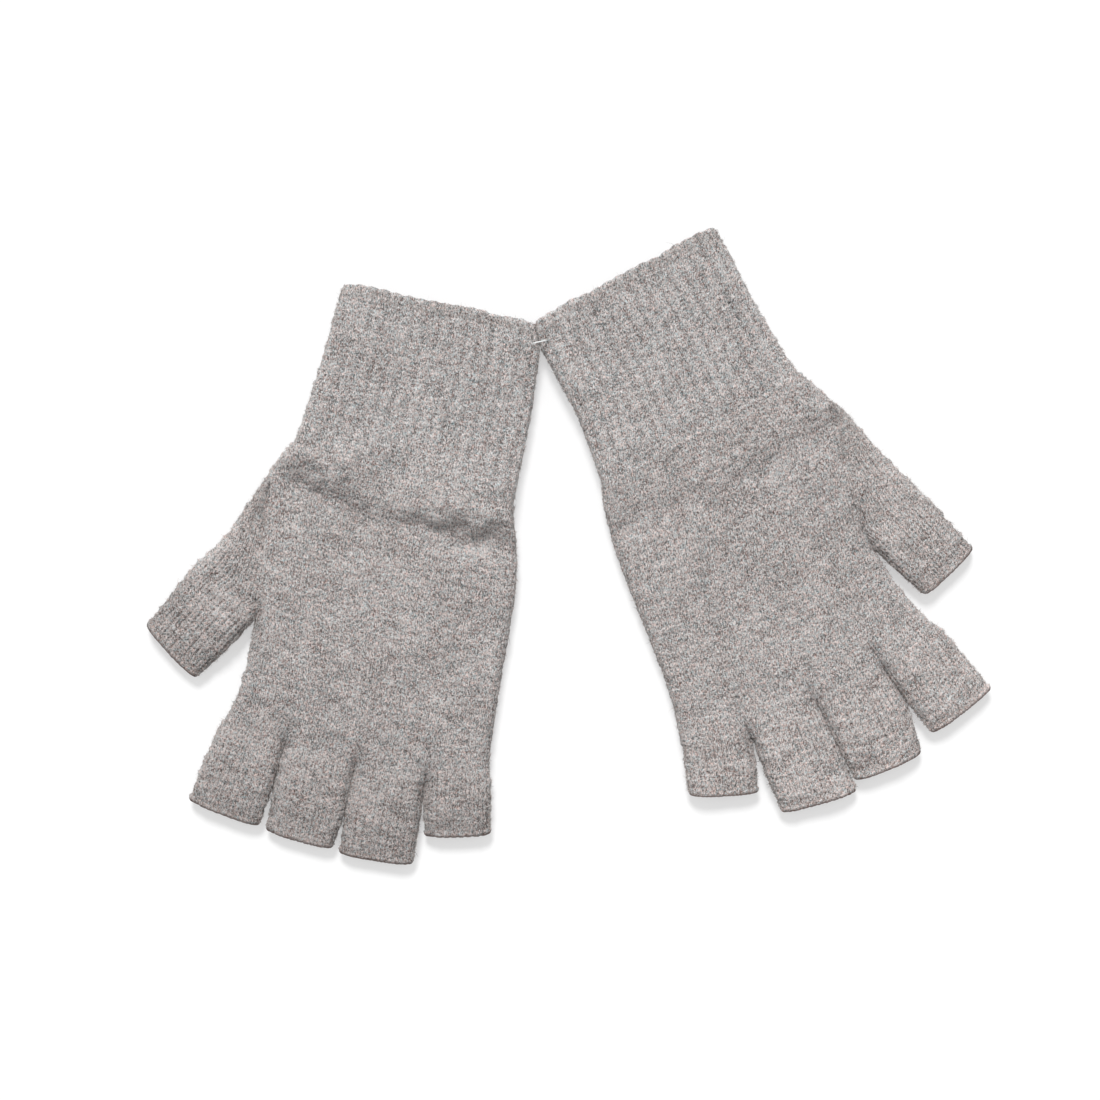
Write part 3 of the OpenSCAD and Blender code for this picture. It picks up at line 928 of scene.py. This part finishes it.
def gusset_tube(side):
    """Sides worked out in the thumb's plan: outside along the glove's outline, inside along the
    hand's own edge, with a small overlap that hides the wall between them."""
    plan, glove = ROOT[side]["thumb"], GLOVE[side]
    root_left, root_right = STALL[side]["thumb"][0][0], STALL[side]["thumb"][1][0]
    outside = np.array(GUSSET_OUTSIDE[side], float)
    out_x, out_y = plan.local(glove.place(outside[:, 1], outside[:, 0], 0 * outside[:, 0])[:, :2])
    edge = soft_line(PALM[side], 1)
    ys = np.linspace(GUSSET_START - 4, THUMB_FORK - 2, 30)
    in_x, in_y = plan.local(glove.place(edge(ys) + OVERLAP, ys, 0 * ys)[:, :2])
    tip = glove.place(np.array([GUSSET_OUTSIDE[side][1][1]]), np.array([GUSSET_START]), np.zeros(1))
    start_y = plan.local(tip[:, :2])[1]

    def left(y):
        near = rise(y, -8, -1)
        return np.interp(y, out_y, out_x) * (1 - near) + root_left * near

    def right(y):
        free = rise(y, -9, -1)
        inner = np.minimum(np.interp(y, in_y, in_x), root_right)
        return np.maximum(inner * (1 - free) + root_right * free, left(y) + TIP_WIDTH)

    def folds(y):
        """A round fold outside and a wall inside. Where the tip is narrow its folds are smaller."""
        free = rise(y, -7, 0)
        width = right(y) - left(y)
        inner = HALF_HEIGHT * free + WALL_FOLD * (1 - free)
        return np.minimum(HALF_HEIGHT, 0.6 * width), np.minimum(inner, 0.35 * width)

    def on_glove(function, x, y):
        """A function of a place in the glove's plan, at a place in the thumb's plan."""
        place = plan.place(x, y, 0 * x)[..., :2]
        gx, gy = glove.local(place.reshape(-1, 2))
        return function(gx.reshape(x.shape), gy.reshape(x.shape))

    def lie(x, y):
        return on_glove(LIE[side], x, y) - GUSSET_SINK

    # Painted shade of the glove's folds, and half the thumb's own painted shade, growing towards the thumb's
    # root
    def shade(x, y):
        return on_glove(FOLD_SHADE[side], x, y) + 0.5 * THUMB_PAINTED_SHADE[side] * rise(y, -30, 0)

    first = float(start_y[0])

    def height(y):
        """Low at the tip, which is hidden in the hand, and soon as high as the hand."""
        return HALF_HEIGHT * (TIP_HEIGHT + (1 - TIP_HEIGHT) * rise(y, first, first + TIP_LENGTH))

    return Tube(
        plan, left, right, constant(first), constant(0.0), GUSSET_WALES, (0, GUSSET_COURSES),
        lambda u, v: plain_relief(u, v, GUSSET_SEED[side], STALL_DEPTH, THUMB_FURROW[side]),
        folds=folds, lie=lie, shade=shade, height=height)


for side in SIDES:
    tube = gusset_tube(side)
    gusset = tube.mesh(f"{side}_gusset_knit", STALL_KNIT)
    fuzz = glove_halo(tube, side, "gusset")
    for obj in (gusset, fuzz):
        bend_at(obj, f"{side}_cuff", f"{side}_hand", GLOVE[side], *WRIST_BLEND)
        finish_piece(f"{side}_hand")

# %% [markdown]
# ## The ribbed cuff
# Two wales of plain and two of purl by turns make a fabric that draws in like a spring. The purl
# wales sink out of sight, so what shows is a row of rounded ribs with two columns of Vs on each.

# %% Cuffs
WELT_COURSES = WELT_LEN / COURSE
RIB_DEPTH = {"left": 0.52, "right": 0.68}
RIB_SINK, CUFF_COURSES = 0.25, 38
CUFF_SEED = {"left": 300, "right": 400}
CUFF_HALF = 36.5


def cuff_relief(u, v, seed, depth):
    """Rib that fades out over the last courses before the wrist, set slightly low so that its
    ridges come level with the plain fabric."""
    return rib_relief(u / 2, v, seed, depth) * (1 - 0.45 * rise(v, 31, CUFF_COURSES)) - RIB_SINK


def cuff_part(side, start, end, courses):
    """A stretch of the cuff's tube between two mouths."""
    def shade(x, y):
        """Painted lighter over the first few millimetres from the edge, which is fluffier; the last courses
        take the painted shade of the wrist's fold.
        """
        return FOLD_SHADE[side](x, y) - 0.05 * (1 - rise(y, 2, 7))

    def relief(u, v):
        return cuff_relief(u, v, CUFF_SEED[side], RIB_DEPTH[side])

    return Tube(GLOVE[side], soft_line(CUFF[side], 1), soft_line(CUFF[side], 2), start, end,
                2 * RIBS, courses, relief, lie=LIE[side], shade=shade)


def cuff_edge(side):
    """Where the cuff begins: a line that slopes and bows, rounds off at both corners and wanders."""
    middle, slope, bow = CUFF_EDGE[side]

    def edge(x):
        corner = 1.7 * (x / CUFF_HALF) ** 10 - bow * (x / CUFF_HALF) ** 2
        return middle + slope * x + corner + 0.45 * soft_noise(x, 0 * x, 7.0, CUFF_SEED[side])

    return edge


for side in SIDES:
    edge = cuff_edge(side)
    tube = cuff_part(side, lambda x: edge(x) + WELT_LEN, constant(CUFF_LEN + 0.2), (0, CUFF_COURSES))
    cuff = tube.mesh(f"{side}_cuff_knit", RIBBED)
    fuzz = glove_halo(tube, side, "cuff")
    welt_tube = cuff_part(side, edge, lambda x: edge(x) + WELT_LEN + 0.3, (-WELT_COURSES, 0.2))
    welt = welt_tube.mesh(f"{side}_cast_on_edge", RIBBED)
    welt_fuzz = glove_halo(welt_tube, side, "cast_on")
    for obj in (cuff, fuzz, welt, welt_fuzz):
        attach(obj, f"{side}_cuff")
    for obj in (cuff, fuzz):
        finish_piece(f"{side}_cuff")
    for obj in (welt, welt_fuzz):
        finish_piece(f"{side}_cuff_welt")


# %% [markdown]
# ## The finger stalls
# Five short tubes, each on its own root line. Half a finger long, they end in a bound-off edge that
# draws the two layers together, so the mouth is a narrow slit.

# %% Stalls and their bound-off edges
STALL_WALES = {"thumb": 11, "index": 10, "middle": 10, "ring": 10, "little": 9}
STALL_BLEND = 9.0
FINGER_FURROW = 0.07
# Millimetres: how far a stall's end bows out and its corners draw back, how far its start reaches
# into the hand, and how much narrower and lower it is in there
BOW, CORNER = 0.5, 0.7
TUCK_IN, TUCK_NARROW, TUCK_LOW = 2.4, 1.0, 0.5
# Millimetres that a stall thins along its length and again at its drawn-in mouth, and that it falls
# from the hand's height
THINNING, MOUTH_THINNING, MOUTH_LENGTH, FALL = 0.35, 0.55, 7, 1.4
# Shares of the light that a stall's sides and mouth keep back; a side that faces no neighbour
# keeps only some of it
SIDE_SHADE, SIDE_REACH, MOUTH_SHADE, FREE_SIDE = 0.17, 2.4, 0.05, 0.3
BEAD_HEIGHT, BEAD_WIDTH, BEAD_PLACE = 0.75, 0.42, 0.35


def bound_relief(u, v, seed, last):
    """Plain knitting that ends in a chain: a raised bead of slanting loops, one to a wale, over the
    last course."""
    bead = bell(v - last + BEAD_PLACE, BEAD_WIDTH)
    loops = 0.62 + 0.38 * np.cos(2 * math.pi * (u - 0.45 * (v - last)))
    return plain_relief(u, v, seed) * (1 - 0.7 * bead) + BEAD_HEIGHT * bead * loops


def stall_side(places, length):
    """A smooth side through its places at the root, half way and at the end."""
    stations = (-3, 0, length / 2, length, length + 3)
    return soft_line(list(zip(stations, (places[0], *places, places[2]))), 1, 4.0)


def stall_shape(side, finger):
    """A stall's two sides, its slanting, slightly bowed end and half its thickness, as functions,
    and its length."""
    thumb_side, other_side, (left_len, right_len) = STALL[side][finger]
    length = (left_len + right_len) / 2
    left, right = stall_side(thumb_side, length), stall_side(other_side, length)
    width = other_side[2] - thumb_side[2]
    middle = (other_side[2] + thumb_side[2]) / 2

    def hidden(y):
        """How much narrower the stall's start is, so that it stays inside the hand's front."""
        return TUCK_NARROW * (1 - rise(y, -TUCK_IN, TUCK_IN / 2))

    def end(x):
        across = (x - middle) / width
        corner = CORNER * np.minimum(np.abs(2 * across), 1.1) ** 8
        return length + (right_len - left_len) * across + BOW * (0.5 - 4 * across**2) - corner

    def height(y):
        mouth = MOUTH_THINNING * rise(y, length - MOUTH_LENGTH, length)
        return HALF_HEIGHT - THINNING * rise(y, 0, length) - mouth

    return lambda y: left(y) + hidden(y), lambda y: right(y) - hidden(y), end, height, length


def stall_tubes(side, finger, seed):
    """A stall's plain tube and its bound-off edge, which go on from each other."""
    left, right, end, height, length = stall_shape(side, finger)
    wales, last = STALL_WALES[finger], length / COURSE
    first_edge = last - EDGE_LEN / COURSE
    furrow = THUMB_FURROW[side] if finger == "thumb" else FINGER_FURROW

    def folds(y):
        return FINGER_FOLD + 0 * y, FINGER_FOLD + 0 * y

    def shade(x, y):
        outer_left = FREE_SIDE if finger == "index" else 1.0
        outer_right = FREE_SIDE if finger == "little" else 1.0
        sides = (outer_left * bell(x - left(y), SIDE_REACH)
                 + outer_right * bell(x - right(y), SIDE_REACH))
        tip = MOUTH_SHADE * rise(y, length - MOUTH_LENGTH, length)
        # The finger's own painted shade: darker towards its end, which slopes away from the light, and
        # painted lighter below 0
        own = THUMB_PAINTED_SHADE[side] if finger == "thumb" else FINGER_PAINTED_SHADE[side]
        return SIDE_SHADE * sides + own * (0.5 + 0.5 * rise(y, 0, length)) + tip

    def lie(x, y):
        hills = 0.55 * soft_noise(x + 50, y, 9.0, seed) - FALL * rise(y, 2, 34)
        return hills * rise(y, -2, 9) - TUCK_LOW * (1 - rise(y, -TUCK_IN, 0.4))

    def stall_relief(u, v):
        return plain_relief(u, v, seed, STALL_DEPTH, furrow)

    def edge_relief(u, v):
        return bound_relief(u, v, seed, last)

    shape = {"height": height, "lie": lie, "folds": folds, "shade": shade}
    tube = Tube(ROOT[side][finger], left, right, constant(-TUCK_IN), lambda x: end(x) - EDGE_LEN,
                wales, (0, first_edge), stall_relief, **shape)
    edge_tube = Tube(ROOT[side][finger], left, right, lambda x: end(x) - EDGE_LEN - 0.2,
                     lambda x: end(x) - FABRIC / 2, wales, (first_edge - 0.1, last), edge_relief,
                     **shape)
    return tube, edge_tube


for s, side in enumerate(SIDES):
    for k, finger in enumerate(FINGERS):
        plan, body = ROOT[side][finger], f"{side}_{finger}"
        seed = 500 + 50 * s + 7 * k
        tube, edge_tube = stall_tubes(side, finger, seed)
        stall = tube.mesh(f"{body}_knit", STALL_KNIT)
        fuzz = halo(tube, f"{body}_fibres", FIBRE_COUNT["stall"], seed + 1)
        edge = edge_tube.mesh(f"{body}_bound_edge", EDGE)
        for obj in (stall, fuzz):
            bend_at(obj, f"{side}_hand", body, plan, 0.0, STALL_BLEND)
            finish_piece(body)
        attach(edge, body)
        finish_piece(f"{body}_edge")

# %% [markdown]
# ## Joining stitches
# Where two stalls part, a few turns of yarn close the hole that knitting leaves. Each is a short bar
# of yarn wound round itself, between the two layers.


# %% Wound bars at the forks
BAR_ROWS, BAR_SIDES = 50, 16
YARN_SWELL = 0.28


def wound_bar(name, node, radius=0.9, turns=5):
    """A bar on the node's own centre line. Its radius swells with abs(sin(turns * pi * t + a / 2)),
    so that the swellings wind round it as yarn does, and closes to a point at both ends."""
    low, high = (np.array(c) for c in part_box(node))
    centre, height = (low + high) / 2, high[2] - low[2]
    rows, cols = BAR_ROWS, BAR_SIDES
    t = np.linspace(0, 1, rows)[:, None]
    a = np.linspace(0, 2 * math.pi, cols, endpoint=False)[None, :]
    yarn = np.abs(np.sin(math.pi * turns * t + a / 2))
    cap = np.sqrt(np.clip(1 - (2 * t - 1) ** 8, 0, 1))
    r = MM * radius * (1 - YARN_SWELL + YARN_SWELL * yarn) * cap
    z = centre[2] + (t - 0.5) * height
    points = np.stack([centre[0] + r * np.cos(a), centre[1] + r * np.sin(a), z + 0 * a], -1)
    r_i, c_i = np.meshgrid(np.arange(rows - 1), np.arange(cols), indexing="ij")
    c_n = (c_i + 1) % cols
    faces = np.stack([r_i * cols + c_i, r_i * cols + c_n, (r_i + 1) * cols + c_n,
                      (r_i + 1) * cols + c_i], -1).reshape(-1, 4)
    uv = np.zeros((len(faces) * 4, 2))
    obj = link(name, points.reshape(-1, 3), faces, uv, relief=0.3 * yarn + 0 * a,
               rim=0 * (t + a))
    obj.data.materials.append(EDGE)
    return obj


for side in SIDES:
    for finger in FINGERS[:4]:
        node = f"{side}_{finger}_fork"
        bar = wound_bar(f"{node}_stitches", node)
        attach(bar, f"{side}_hand")
        finish_piece(node)

# %% [markdown]
# ## The pairing tack
# A moulded nylon thread with a bar on each end is shot through both cuffs to keep the pair together.
# It is a round filament swept along an arch, and two bars with rounded ends.


# %% Nylon tack
def sweep(path, radius, sides=12):
    """A tube round a path of points, with a ring across the path at each point."""
    tangent = unit(np.gradient(path, axis=0))
    up = np.array([0, 0, 1.0])
    side = np.cross(tangent, up)
    flat = np.linalg.norm(side, axis=1, keepdims=True)
    side = np.where(flat > 0.05, side / np.maximum(flat, 1e-9), np.array([[1.0, 0, 0]]))
    other = np.cross(side, tangent)
    a = np.linspace(0, 2 * math.pi, sides, endpoint=False)[None, :, None]
    spokes = np.cos(a) * side[:, None] + np.sin(a) * other[:, None]
    ring = path[:, None] + radius[:, None, None] * spokes
    count = len(path)
    r, c = np.meshgrid(np.arange(count - 1), np.arange(sides), indexing="ij")
    n = (c + 1) % sides
    faces = np.stack([r * sides + c, (r + 1) * sides + c, (r + 1) * sides + n, r * sides + n], -1)
    return ring.reshape(-1, 3), faces.reshape(-1, 4)


def tack_post(side):
    """The point on the floor plan where the filament's end stands in a cuff."""
    return np.array(JOINTS[f"{side}_tack_swivel"]["pos_m"][:2])


nylon = Finish("nylon")
nylon_place = nylon.add("ShaderNodeTexCoord", output=3)
nylon_noise = nylon.add("ShaderNodeTexNoise", {}, {"Vector": nylon_place, "Scale": 900.0, "Detail": 2.0})
nylon_colour = nylon.mix(nylon_noise, linear(0.84, 0.85, 0.85), linear(0.95, 0.96, 0.96))
nylon.set(Base_Color=nylon_colour, Roughness=0.28, IOR=1.53, Transmission_Weight=0.15)
TACK_R, BAR_R, BAR_LEN = 0.25, 0.5, 8.0
TACK_SWAY = 0.3
# The filament is up between these shares of the way from its middle to its ends
ARCH_UP, ARCH_DOWN = 0.26, 0.52
low, high = (np.array(c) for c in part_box("pairing_tack"))
posts = [tack_post(s) for s in SIDES]
t = np.linspace(0, 1, 41)[:, None]
rise_z = low[2] + BAR_R * MM
top_z = high[2] - 1.4 * TACK_R * MM
span = posts[1] - posts[0]
aside = np.array([-span[1], span[0]]) / np.linalg.norm(span)
arch = posts[0] * (1 - t) + posts[1] * t + TACK_SWAY * MM * np.sin(2 * math.pi * t) * aside
arch_z = rise_z + (top_z - rise_z) * (1 - rise(np.abs(2 * t - 1), ARCH_UP, ARCH_DOWN))
path = np.concatenate([arch, arch_z], axis=1)
pieces = [sweep(path, np.full(len(path), TACK_R * MM))]
for side, post in zip(SIDES, posts):
    s = np.linspace(-1, 1, 9)[:, None]
    line = np.concatenate([post + s * BAR_LEN / 2 * MM * GLOVE[side].along, rise_z + 0 * s], axis=1)
    rounded = BAR_R * MM * np.sqrt(np.clip(1 - s[:, 0] ** 12, 0, 1))
    pieces.append(sweep(line, rounded))
offsets = np.cumsum([0] + [len(p) for p, _ in pieces[:-1]])
tack = link("pairing_tack_nylon", np.concatenate([p for p, _ in pieces]),
            np.concatenate([f + o for (_, f), o in zip(pieces, offsets)]))
tack.data.materials.append(nylon.material)
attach(tack, "tack")
finish_piece("pairing_tack")
print("tack span", round(float(np.linalg.norm(posts[1] - posts[0])) / MM, 1), "mm")

# %% [markdown]
# ## Finish
# The box of the finished surfaces is worked out.

# %% Sizes
low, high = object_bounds()
